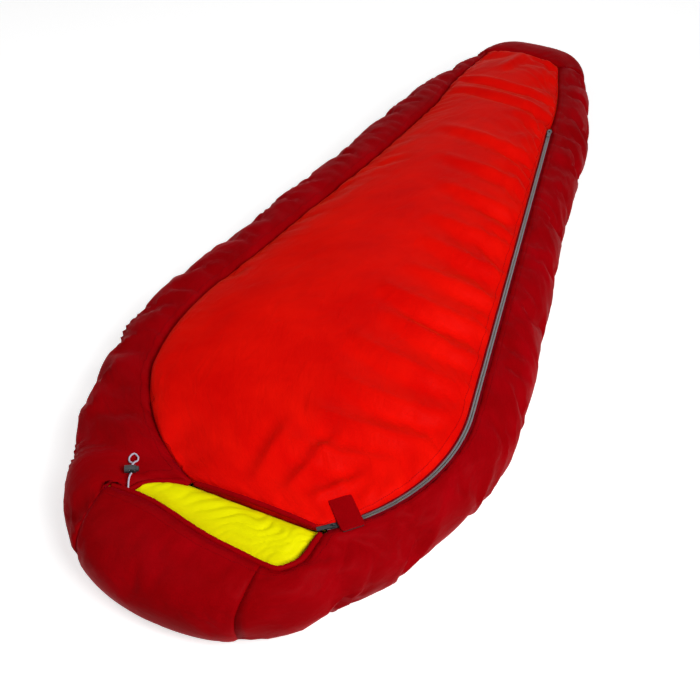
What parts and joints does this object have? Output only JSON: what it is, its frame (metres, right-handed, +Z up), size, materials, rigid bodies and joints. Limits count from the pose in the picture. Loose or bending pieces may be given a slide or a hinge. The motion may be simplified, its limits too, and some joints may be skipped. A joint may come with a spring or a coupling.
{
  "type": "sleeping bag",
  "caption": "Hooded mummy sleeping bag lying closed on its back, with a two-slider side zip, a fold-back top flap, a draft collar and a drawcord with a cord lock.",
  "frame": {"origin": "on the floor under the middle of the bag's length and width", "axes": "+Y along the bag from the head end to the foot end, +X to the zip's side, +Z up from the floor"},
  "size_m": [0.8264, 2.1997, 0.19],
  "materials": {
    "bright_shell": "satin woven nylon, bright red",
    "crimson_shell": "satin woven nylon, dark crimson",
    "lime_lining": "soft woven lining, lime yellow",
    "wadding": "polyester fill, hidden inside the walls",
    "zip_tape": "woven zip tape, dark red",
    "touch_fastener": "hook and loop strip, black",
    "pale_cord": "braided cord, pale lavender",
    "zip_coil": "nylon coil, grey",
    "black_plastic": "moulded plastic, black",
    "slider_black": "die-cast zinc, black paint",
    "spring_steel": "plain spring wire"
  },
  "bodies": {
    "bag": {"bottom_panel": "crimson_shell", "bottom_insulation": "wadding", "bottom_lining": "lime_lining", "side_panel_left": "crimson_shell", "side_insulation_left": "wadding", "side_lining_left": "lime_lining", "side_panel_right": "crimson_shell", "side_insulation_right": "wadding", "side_lining_right": "lime_lining", "hood_panel": "crimson_shell", "hood_insulation": "wadding", "hood_lining": "lime_lining", "foot_end_panel": "crimson_shell", "foot_end_insulation": "wadding", "foot_end_lining": "lime_lining", "top_panel": "bright_shell", "top_insulation": "wadding", "top_lining": "lime_lining", "top_panel_foot": "bright_shell", "top_insulation_foot": "wadding", "top_lining_foot": "lime_lining", "hood_edge_casing": "crimson_shell", "shoulder_edge_binding": "crimson_shell", "draft_collar_end": "lime_lining", "draft_tube": "lime_lining", "zip_coil_side": "zip_coil", "zip_tape_side": "zip_tape", "zip_coil_foot": "zip_coil", "zip_tape_foot": "zip_tape", "zip_bottom_stop": "slider_black", "side_loop_strip": "touch_fastener", "cord_lock_barrel": "black_plastic", "cord_lock_spring": "spring_steel", "drawcord": "pale_cord", "drawcord_loop": "pale_cord"},
    "flap": {"top_panel_flap": "bright_shell", "top_insulation_flap": "wadding", "top_lining_flap": "lime_lining", "neck_edge_binding": "crimson_shell", "draft_collar": "lime_lining", "zip_coil_flap": "zip_coil", "zip_tape_flap": "zip_tape"},
    "tab": {"zip_tab": "crimson_shell", "tab_hook_strip": "touch_fastener"},
    "upper_slider": {"zip_slider_upper": "slider_black"},
    "upper_pull": {"zip_slider_upper_pull": "slider_black"},
    "lower_slider": {"zip_slider_lower": "slider_black"},
    "lower_pull": {"zip_slider_lower_pull": "slider_black"},
    "lock_button": {"cord_lock_button": "black_plastic"}
  },
  "joints": [
    {"name": "flap_fold", "type": "hinge", "parent": "bag", "child": "flap", "pos_m": [-0.0272, -0.88408, 0.191], "axis": [-0.1305, -0.9914, 0], "range_deg": [0, 150]},
    {"name": "tab_lift", "type": "hinge", "parent": "flap", "child": "tab", "pos_m": [0.19933, -0.81875, 0.15588], "axis": [-0.6792, -0.734, 0], "range_deg": [0, 165]},
    {"name": "upper_slider_travel", "type": "hinge", "parent": "bag", "child": "upper_slider", "pos_m": [-0.0577, -0.58093, 0.141], "axis": [0, 0, 1], "range_deg": [0, 55]},
    {"name": "upper_pull_swing", "type": "hinge", "parent": "upper_slider", "child": "upper_pull", "pos_m": [0.21262, -0.86781, 0.145], "axis": [-0.6858, 0.7278, 0], "range_deg": [0, 120]},
    {"name": "lower_slider_travel", "type": "slide", "parent": "bag", "child": "lower_slider", "axis": [0.147, -0.9891, 0], "range_m": [0, 1.03]},
    {"name": "lower_pull_swing", "type": "hinge", "parent": "lower_slider", "child": "lower_pull", "pos_m": [0.17348, 0.54516, 0.145], "axis": [-0.9891, -0.147, 0], "range_deg": [0, 165]},
    {"name": "cord_lock_press", "type": "slide", "parent": "bag", "child": "lock_button", "axis": [-0.8829, -0.4695, 0], "range_m": [0, 0.002], "stiffness_N_per_m": 500, "deforming": ["cord_lock_spring"]}
  ]
}
